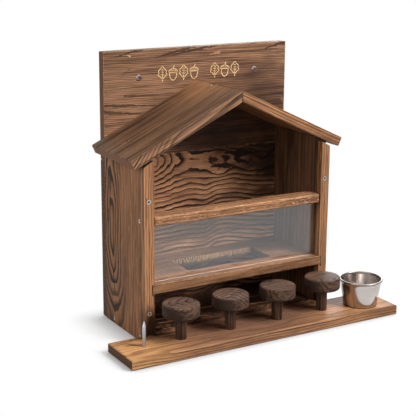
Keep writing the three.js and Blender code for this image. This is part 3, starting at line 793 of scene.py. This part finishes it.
def dress_boards():
    """Gives each board its wood.

    A zone is a tone, its middle along and across the board, its reach both ways and its share. A mark is a
    tone and its strokes, each with a start, an end, half its width at the start and its share. A knot is its
    place, its radius, its reach both ways and how many rings it pushes.
    """
    dress_board(
        "back_plank_upper", X, Z, tone={**TORCHED, "end": "8a5c40"}, seed=1, spacing=2.1,
        pith=((-137, 124), (118, 114)), wave=(220, 40, 1.4), wobble=0.12, lines=0.8, fine=0.75,
        streaks=0.5, char=0.5, greying=0.45, bright=0.92,
        # The scorch zone at (40, 222) paints the shade that the roof casts inside the box.
        zones=(
            ("scorch", -70, 216, 60, 9, 0.4), ("scorch", 92, 262, 60, 60, 0.42),
            ("light", -100, 275, 50, 60, 0.5), ("scorch", 40, 222, 130, 44, 0.6),
            ("scorch", 30, 262, 120, 44, 0.3),
        ),
        marks=(
            (
                "line", (16, 328.8, -46, 319.5, 2.4, 0.85), (118, 327, 88, 320.5, 2.6, 0.85),
                (-24, 327, -68, 317.5, 2.2, 0.8), (-88, 328.4, -122, 321.5, 1.8, 0.8),
                (118, 262, 80, 261, 3, 0.7), (112, 253, 90, 252, 2, 0.7), (-137, 264.5, -66, 260, 2, 0.75),
                (-137, 256.5, -88, 251.5, 2.4, 0.75), (-110, 274, -64, 272.5, 1.4, 0.7),
                (-95, 219, -18, 226, 1.6, 0.7),
            ),
            ("fleck", (-102, 321, -106, 322.5, 0.8, 0.9)),
            ("light", (21, 319.5, 7, 317, 1.8, 0.8)),
            ("scorch", (-102, 307, -113, 299, 0.5, 0.8)),
        ),
    )
    dress_board(
        "back_plank_lower", X, Z, tone={**WARM, "light": "dba277", "body": "a57552", "line": "2d1c15"},
        seed=2, shape="torn", spacing=5.75, pith=((-98, 191), (-40, 189.5), (14, 183), (100, 171)),
        depth=((-98, 1), (-71, 3), (-61, 11), (-51, 16.75), (-41, 22.5), (-18, 28.2), (24, 11.5)),
        base=((-18, -0.5), (24, 16.8)), opening=((-14, 0), (6, 3.6), (50, 1.5)), wave=(34, 20, 2.6),
        wobble=1.2, lines=1.25, fine=0.35, streaks=0.25, char=0.3, greying=0, end_lines=0, end_dark=0.3,
        knots=((24, 176, 2, 12, 17, 2), (68.6, 177, 3, 10, 14, 0.8)),
        # The scorch zones at (-20, 28), (108, 176) and (-20, 108) paint shade: in the bay under the counter
        # shelf, beside the right panel and behind the pane.
        zones=(
            ("scorch", 60, 203, 90, 11, 0.75), ("scorch", -20, 28, 220, 46, 0.9),
            ("scorch", 108, 176, 88, 60, 0.92), ("scorch", -20, 108, 200, 34, 0.7),
        ),
        marks=(
            (
                "scorch", (50, 190.5, 30, 191, 3.8, 0.95), (52, 191, 82, 187, 3.4, 0.95),
                (-20, 188.2, -7, 187.2, 1.6, 0.85), (24, 175, 20, 170, 1.5, 0.8),
                (25, 176, 31, 171, 1.3, 0.7), (-12, 204, 10, 199, 1.6, 0.85), (10, 199, 34, 193, 1.8, 0.85),
                (106, 190, 84, 176, 3, 0.85), (106, 168, 78, 160, 3, 0.85),
            ),
        ),
    )
    dress_board(
        "side_panel_left", Z, Y, straight=False, tone=WARM, seed=3, shape="bold", spacing=6.3,
        pith=((0, 52), (110, 59), (215, 62)), depth=((-20, 36), (122, 1), (230, 17)), wave=(42, 18, 4.2),
        wobble=1.1, lines=1.35, fine=0.35, streaks=0.45, reach=(21, 0.1), arris=0.4, char=0.35,
        seams=((Y, 76.4, 1), (Y, -16.85, 0.7)),
        zones=(("light", 150, 56, 90, 14, 0.35), ("light", 170, 22, 40, 14, 0.3)),
        marks=(
            (
                "scorch", (190, 60, 150, 64, 2.6, 0.85), (140, 68, 112, 70, 2.2, 0.8),
                (66, 57, 36, 53, 2.6, 0.75),
            ),
        ),
    )
    dress_board(
        "side_panel_right", Z, Y, straight=False, seed=4, spacing=7, pith=120, depth=40, lines=0.35,
        # The inner face gets the level 0.4 and the outer face 0.95: painted shade inside the box.
        fine=0.3, char=0.5, greying=0, bright=0.4, far_bright=0.95,
    )
    for side, low_x, shelf_end_shade_x, seed in (("left", -131, -127.4, 5), ("right", 113, 109.9, 6)):
        dress_board(
            "front_strip_" + side, Z, X, straight=False, tone=PALE, seed=seed, spacing=3, pith=low_x + 30,
            depth=20, wave=(60, 14, 2.4), lines=0.7, streaks=0.55, char=0.3, greying=0.2,
            # The right strip gets a lower level than the left: painted shade on the same wood.
            bright=1.03 if side == "left" else 0.78, arris=0.5,
            zones=(("scorch", 0, low_x, 52, 26, 0.95), ("light", 120, low_x, 60, 20, 0.5)),
            seams=((Y, -16.85, 0.6),),
            marks=(
                ("scorch", (66, low_x + 5.4, 40, low_x + 5.8, 1.5, 0.9)),
                ("line", (175, low_x - 3.4, 138, low_x - 3.8, 0.8, 0.7)),
                # The last stroke paints the shadow in the gap beside the counter shelf's end.
                ("scorch", (59, shelf_end_shade_x, 71, shelf_end_shade_x, 1.4, 0.9)),
            ),
        )
    dress_board(
        "top_rail", X, Z, tone=PALE, seed=7, spacing=3, pith=100, lines=0.5, fine=0.55,
        streaks=0.55, fibres=1.2, flecks=0.9, char=0.5, greying=0.4, bright=0.95,
    )
    dress_board(
        "counter_shelf", X, Y, tone=PALE, seed=8, spacing=4.2, pith=90, depth=25, lines=0.6, fine=0.55,
        streaks=0.5, flecks=0.2, char=0.6, greying=0.5, bright=0.62,
        # The scorch zone at (60, 76) paints the shade at the shelf's back right.
        zones=(("scorch", 60, 76, 90, 60, 0.6),), sawn_wall=(48.4, 63),
    )
    dress_board(
        "base_board", X, Y, straight=False, tone={**PALE, "end": "6e4630"}, seed=9, spacing=3.1, pith=-76,
        depth=36, wave=(64, 20, 3.2), lines=0.45, flank_lines=0.9, bright=0.88, arris=0.6, fine=0.4,
        greying=0.2, end_dark=0.4,
        # The scorch zone at (-10, 74) paints the shade in the bay under the counter shelf.
        zones=(
            ("glow", -190, -66, 80, 60, 0.95), ("grey", -10, -40, 130, 70, 1),
            ("glow", 120, -70, 60, 30, 0.3), ("scorch", 162, -97, 36, 13, 0.75),
            ("scorch", -10, 74, 300, 112, 0.9),
        ),
        # Of the scorch strokes, the one from (-138, -27) paints the shadow along the box's foot, the two
        # wide ones at y 30 paint the shade in the bay under the counter shelf, and the three between y -12
        # and -22 paint the stools' shadows. The body strokes paint lit strips on the bay's floor.
        marks=(
            (
                "scorch", (-150, -49, -172, -45, 1.3, 0.85), (-142, -30.5, -174, -32.5, 1.8, 0.85),
                (-138, -27, -100, -34, 3.4, 0.95), (-126, 30, 106, 30, 58, 0.93),
                (106, 30, -126, 30, 58, 0.93), (-116, -14, -20, -20, 3.2, 0.9),
                (-40, -16, 40, -20, 2.6, 0.85), (106, -12, 40, -22, 3, 0.9),
            ),
            (
                "body", (-118, 16, -60, 9, 2.4, 0.8), (-104, 2, -40, -1, 1.8, 0.8),
                (-120, 34, -76, 26, 2.6, 0.6), (-50, 24, 20, 19, 2.4, 0.6), (10, 8, 60, 2, 2, 0.7),
                (64, 22, 104, 2, 1.8, 0.8), (70, 12, 100, -6, 1.5, 0.8), (30, 30, 84, 24, 1.6, 0.5),
            ),
        ),
    )
    slope = math.radians(ROOF_PITCH_DEGREES)
    up_left = Vector((math.cos(slope), 0, math.sin(slope)))
    up_right = Vector((-math.cos(slope), 0, math.sin(slope)))
    dress_board(
        "roof_board_left", up_left, Y, straight=False,
        tone={**TORCHED, "end": "a8714e", "grey": "6c5044", "worn": "e0b596"}, seed=10, shape="bold",
        spacing=3.4, pith=22, depth=((-60, 66), (30, 24), (130, 14)), wave=(110, 30, 1.6), wobble=0.15,
        lines=0, flank_lines=0.9, arris=0.5, fine=0.8, streaks=0.9, char=0.6, greying=0.25, bright=0.56,
        flank_bright=0.93, end_lines=0.45, seams=((X, RIDGE_X_MM, 1.1),),
        # The glow zone by the ridge at the back is a painted highlight.
        zones=(("glow", 130, 60, 66, 90, 0.95), ("light", 100, -10, 60, 50, 0.5)),
        marks=(
            (
                "fleck", (-26.5, ROOF_NAIL_Y_MM + 0.5, -23.5, ROOF_NAIL_Y_MM, 0.9, 0.95),
                (-18.5, ROOF_NAIL_Y_MM - 0.8, -16, ROOF_NAIL_Y_MM - 0.4, 0.8, 0.9),
                (104, 62, 108, 61.5, 0.8, 0.9),
            ),
        ),
    )
    dress_board(
        "roof_board_right", up_right, Y, straight=False, tone=WARM, seed=11,
        zones=(("scorch", -60, -27, 80, 60, 0.5),), spacing=2.6, pith=-60, depth=50, wave=(140, 30, 1.5),
        lines=0.35, flank_lines=0.8, fine=0.6, streaks=0.6, char=0.45, greying=0.2, bright=0.74,
        flank_bright=1, arris=0.5, seams=((X, RIDGE_X_MM, 0.8),),
    )


# Stools

SEAT_EDGE_MM = 2.1
SEAT_SEED = 20
LEG_SEED = 30
# Of each seat: which way its grain runs in degrees, how far aside the pith lies at its start and at its end,
# and how far below the face it lies there
STOOL_GRAINS = ((20, 5, -9, 30, 12), (35, -12, -2, 14, 34), (-15, 22, 26, 18, 26), (10, -4, -16, 9, 30))


def make_seat(number, turn, pith_start, pith_end, depth_start, depth_end):
    place, radius, height = round_of(f"stool_seat_{number}")
    profile = [(0, 0), (radius * 0.5, 0)]
    profile += arc((radius - SEAT_EDGE_MM, SEAT_EDGE_MM), SEAT_EDGE_MM, -90, 0, 6)
    profile += arc((radius - SEAT_EDGE_MM, height - SEAT_EDGE_MM), SEAT_EDGE_MM, 0, 90, 6)
    profile += [(radius * 0.6, height), (radius * 0.25, height), (0, height)]

    def worn(row, angle, r, h):
        spot = Vector((math.cos(angle) * r, math.sin(angle) * r, h * 0.2 + 40 * number)) * 0.06
        dip = 0.05 * (noise.noise(spot) - 1)
        return (r + dip if r > radius * 0.7 else r), h

    bm = bmesh.new()
    turned(bm, profile, 72, place, Z, worn)
    angle = math.radians(turn)
    grain = Vector((math.cos(angle), math.sin(angle), 0))
    across = Vector((-math.sin(angle), math.cos(angle), 0))
    u, v = place.dot(grain), place.dot(across)
    material = wood(
        f"wood_stool_seat_{number}", grain, across, place.z + height, tone=STOOL, seed=SEAT_SEED + number,
        spacing=3.9, pith=((u - 20, v + pith_start), (u + 20, v + pith_end)),
        depth=((u - 22, depth_start), (u + 22, depth_end)), wave=(34, 16, 2.4), wobble=0.3, lines=1,
        flank_lines=0.6, flank_dark=0.3, fine=0.7, streaks=0.7, flecks=0.5, char=0.9, greying=0.2,
        bright=0.74,
    )
    name = f"stool_seat_turned_{number}"
    piece(name, bm, material, replaces=(f"stool_seat_{number}",), smooth=50)


def make_leg(number):
    place, radius, height = round_of(f"stool_leg_{number}")
    profile = [(0, 0), (radius - 0.4, 0), (radius, 0.4), (radius, height * 0.5)]
    profile += [(radius, height - 0.3), (0, height)]
    bm = bmesh.new()
    turned(bm, profile, 40, place)
    material = wood(
        f"wood_stool_leg_{number}", Z, X, place.y, tone=STOOL, seed=LEG_SEED + number, spacing=3,
        pith=place.x + 14, depth=10, wave=(30, 12, 1.2), lines=0.3, fine=0.8, streaks=0.8, fibres=0.6,
        char=0.9, bright=0.56,
    )
    name = f"stool_leg_turned_{number}"
    piece(name, bm, material, replaces=(f"stool_leg_{number}",), smooth=50)


def make_stools():
    for number, grain in enumerate(STOOL_GRAINS, 1):
        make_seat(number, *grain)
        make_leg(number)


# Ornament: a row of leaves and acorns, a little proud of the back board

ORNAMENT_LEFT_MM = -66.4
ORNAMENT_PITCH_MM = 14.6
ORNAMENT_BASE_MM = 288.2
ORNAMENT_HEIGHT_MM = 18.6
ORNAMENT_PROUD_MM = 0.12
ORNAMENT_SUNK_MM = 0.3
ORNAMENT_ROW = ("leaf", "acorn", "leaf", "acorn", None, "leaf", "acorn", "leaf")
CREAM = {**PALE, "light": "f6d7a2", "body": "e8c088", "grey": "d9b07c", "line": "b98a5c"}


def stroke(bm, points, width, closed, face_y):
    """A thin strip of wood along points of (x, z), proud of the face at face_y, as a closed solid."""
    front_y = face_y - ORNAMENT_PROUD_MM
    back_y = face_y + ORNAMENT_SUNK_MM
    count = len(points)
    sections = []
    for i, (x, z) in enumerate(points):
        before = points[i - 1] if closed or i else points[0]
        after = points[(i + 1) % count] if closed or i < count - 1 else points[-1]
        run = Vector((after[0] - before[0], after[1] - before[1])).normalized()
        side = Vector((-run.y, run.x)) * (width(i / (count - 1)) / 2)
        corners = []
        for sign, y in ((1, front_y), (-1, front_y), (-1, back_y), (1, back_y)):
            corners.append(bm.verts.new((x + side.x * sign, y, z + side.y * sign)))
        sections.append(corners)
    pairs = list(zip(sections, sections[1:]))
    if closed:
        pairs.append((sections[-1], sections[0]))
    for a, b in pairs:
        for k in range(4):
            bm.faces.new((a[k], a[(k + 1) % 4], b[(k + 1) % 4], b[k]))
    if not closed:
        bm.faces.new(sections[0])
        bm.faces.new(sections[-1])


def leaf_strokes(height):
    """A lobed leaf with its rib and veins, as (points, width, closed), about a foot at (0, 0)."""
    outline = []
    steps = 56
    for i in range(steps):
        turn = 2 * math.pi * i / steps
        share = (1 - math.cos(turn)) / 2
        lobes = 1 + 0.16 * math.cos(6 * math.pi * share)
        half = 0.30 * height * math.sin(math.pi * share**0.9) * lobes
        outline.append((half if turn < math.pi else -half, height * (0.16 + 0.84 * share)))
    rib = [(0, height * k / 12) for k in range(11)]
    strokes = [(outline, lambda t: 1, True), (rib, lambda t: 1.5 - 0.8 * t, False)]
    for share in (0.38, 0.56, 0.72):
        for sign in (-1, 1):
            reach = 0.17 * height * (1.2 - share)
            vein = [(sign * reach * k / 4, height * share + reach * 0.8 * k / 4) for k in range(5)]
            strokes.append((vein, lambda t: 0.8 - 0.3 * t, False))
    return strokes


def acorn_strokes(height):
    """An acorn that hangs by a curved stem: nut, cap and stem, as (points, width, closed)."""
    half = 0.27 * height
    brim = 0.56 * height
    nut = []
    for k in range(25):
        angle = math.pi * (1 + k / 24)
        drop = abs(math.sin(angle)) ** 0.8
        nut.append((half * math.cos(angle), brim - drop * 0.50 * height))
    # The nut ends in a point
    nut[12] = (0, 0.02 * height)
    cap = []
    for k in range(29):
        angle = math.pi * k / 28
        cap.append((1.22 * half * math.cos(angle), brim + 0.22 * height * math.sin(angle) ** 0.8))
    brim_line = [(-1.22 * half + 2.44 * half * k / 8, brim) for k in range(9)]
    middle = [(-0.95 * half + 1.9 * half * k / 8, brim + 0.11 * height) for k in range(9)]
    stem = [(0.10 * height * (k / 8) ** 2, brim + 0.22 * height * (1 + k / 8)) for k in range(9)]
    strokes = [(points, lambda t: 1.1, False) for points in (nut, cap, brim_line)]
    return strokes + [(middle, lambda t: 0.6, False), (stem, lambda t: 1.4 - 0.4 * t, False)]


def make_ornament():
    face_y = box_of("back_plank_upper")[0].y
    cream = wood(
        "wood_ornament", X, Z, face_y, tone=CREAM, seed=40, spacing=3, pith=120, depth=60, lines=0.3,
        fine=0.25, streaks=0.3, char=0, greying=0.2,
    )
    strokes = {"leaf": leaf_strokes(ORNAMENT_HEIGHT_MM), "acorn": acorn_strokes(ORNAMENT_HEIGHT_MM)}
    for place, kind in enumerate(ORNAMENT_ROW):
        if kind is None:
            continue
        centre = ORNAMENT_LEFT_MM + ORNAMENT_PITCH_MM * (place + 0.5)
        bm = bmesh.new()
        for points, width, closed in strokes[kind]:
            moved = [(centre + x, ORNAMENT_BASE_MM + z) for x, z in points]
            stroke(bm, moved, width, closed, face_y)
        piece(f"ornament_{kind}_{place}", bm, cream, smooth=30)


# Cup

CUP_ROLL_MM = 1.2
CUP_FOOT_MM = 20.6
CUP_WALL_MM = 0.8


def make_cup():
    centre, outer, height = round_of("sauce_cup")
    foot = CUP_FOOT_MM
    roll = CUP_ROLL_MM
    mouth = outer - roll
    slope = (mouth - foot) / (height - roll)
    profile = [(0, 0.9), (foot - 3.5, 0.9)]
    profile += [(foot - 2.6, 0.5), (foot - 2, 0), (foot - 1.1, 0), (foot - 0.35, 0.35), (foot, 1.1)]
    profile += [(foot + slope * h, h) for h in (2.2, 5, 10, 16, 22, 28, height - roll - 2.2)]
    profile += arc((mouth, height - roll), roll, -75, 180, 16)
    inside = mouth - roll + 0.25
    profile += [(inside - slope * (height - h), h) for h in (height - 3, 28, 22, 16, 10, 6)]
    inner = foot - CUP_WALL_MM + 0.2
    profile += arc((inner - 2, 3.9), 2, 0, -90, 6)
    profile += [(inner - 6, 1.75), (inner * 0.5, 1.7), (0, 1.7)]
    bm = bmesh.new()
    turned(bm, profile, 128, centre)
    rim_height = centre.z + height - roll - 0.9
    for face in bm.faces:
        if face.calc_center_median().z > rim_height:
            face.material_index = 1
    wall_steel = steel("cup_brushed_steel", "c2bab5", 0.19, (0.5, 0.5, 24), 40, anisotropic=0.6)
    # The rim's steel is darker than the wall's: a painted dark reflection.
    rim_painted_reflection = steel("cup_rim_painted_reflection", "8e8783", 0.30, (2, 2, 0.6), 9)
    obj = piece("sauce_cup_spun", bm, wall_steel, body="cup", replaces=("sauce_cup",), smooth=40)
    obj.data.materials.append(rim_painted_reflection)


# Spike

SPIKE_SHANK_MM = 2.1
SPIKE_POINT_MM = 7


def make_spike():
    centre, head, height = round_of("corn_spike")
    shank = SPIKE_SHANK_MM
    point = SPIKE_POINT_MM
    profile = [(0, 0), (head - 0.3, 0), (head, 0.3), (head, 1.3), (head - 0.3, 1.6), (shank, 1.9)]
    profile += [(shank, 2.2), (shank, 12), (shank, height - point - 1.2)]
    profile += [(shank * (1 - k / 6) ** 0.85, height - point + point * k / 6) for k in range(6)]
    profile += [(0, height)]

    def pointed(row, angle, r, h):
        if h < height - point:
            return r, h
        share = (h - height + point) / point
        square = 1 / max(abs(math.cos(angle)), abs(math.sin(angle))) / 1.414
        return r * (1 - 0.55 * share + 0.55 * share * square), h

    bm = bmesh.new()
    turned(bm, profile, 32, centre, Z, pointed)
    material = steel("spike_zinc", "b9bcc0", 0.34, (3, 3, 9), 5)
    piece("corn_spike_nail", bm, material, replaces=("corn_spike",), smooth=35)


# Screws and nails

WALL_SCREW_MM = dict(dome=2.1, shank_radius=1.9, head_depth=0.4)
WOOD_SCREW_MM = dict(dome=0.05, shank_radius=1.3, head_depth=1.9)
# Which way the heads of each kind of wood screw look
SCREW_WAYS = {
    "side_screw_left": -X, "side_screw_right": X, "strip_screw": -Y, "back_screw": Y, "stool_screw": -Z,
}
NAIL_SHANK_MM = 0.9


def make_screws():
    wall = steel("wall_screw_steel", "95857f", 0.48, (1.5, 1.5, 1.5), 2)
    # The recess steels are darker than the heads: painted shade in the cross recesses.
    wall_recess_shade = steel("wall_screw_recess_shade", "6a5a54", 0.6, (1, 1, 1), 1.5)
    bright = steel("screw_zinc", "cfc6bc", 0.30, (1.5, 1.5, 1.5), 2)
    socket = steel("screw_recess_shade", "2c2320", 0.6, (1, 1, 1), 1.5)
    for k, side in enumerate(("left", "right")):
        name = "wall_screw_head_" + side
        screw(name, "wall_screw_" + side, -Y, (wall, wall_recess_shade), 0.5 + k, **WALL_SCREW_MM)
    for k, node in enumerate(sorted(NODES)):
        for start, axis in SCREW_WAYS.items():
            if node.startswith(start):
                screw(node + "_cross", node, axis, (bright, socket), 0.7 * k, **WOOD_SCREW_MM)
    for node in ("roof_nail_left", "roof_nail_right", "ridge_brad"):
        foot, radius, length = round_of(node)
        profile = [(0, 0), (radius * 0.55, -0.03), (radius * 0.8, -0.08), (radius, -0.25)]
        profile += [(radius, -0.8), (NAIL_SHANK_MM, -1.2), (NAIL_SHANK_MM, 1.9 - length), (0, -length)]
        bm = bmesh.new()
        turned(bm, profile, 24, (foot.x, foot.y, foot.z + length))
        piece(node + "_driven", bm, bright, replaces=(node,), smooth=35)


set_camera()
set_world()
set_floor()
for name, settings in LAMPS.items():
    lamp(name, **settings)
bpy.context.scene.view_settings.view_transform = "Standard"
dress_boards()
dress("window_pane", clear_pane("pane_acrylic"))
make_stools()
make_ornament()
make_cup()
make_spike()
make_screws()
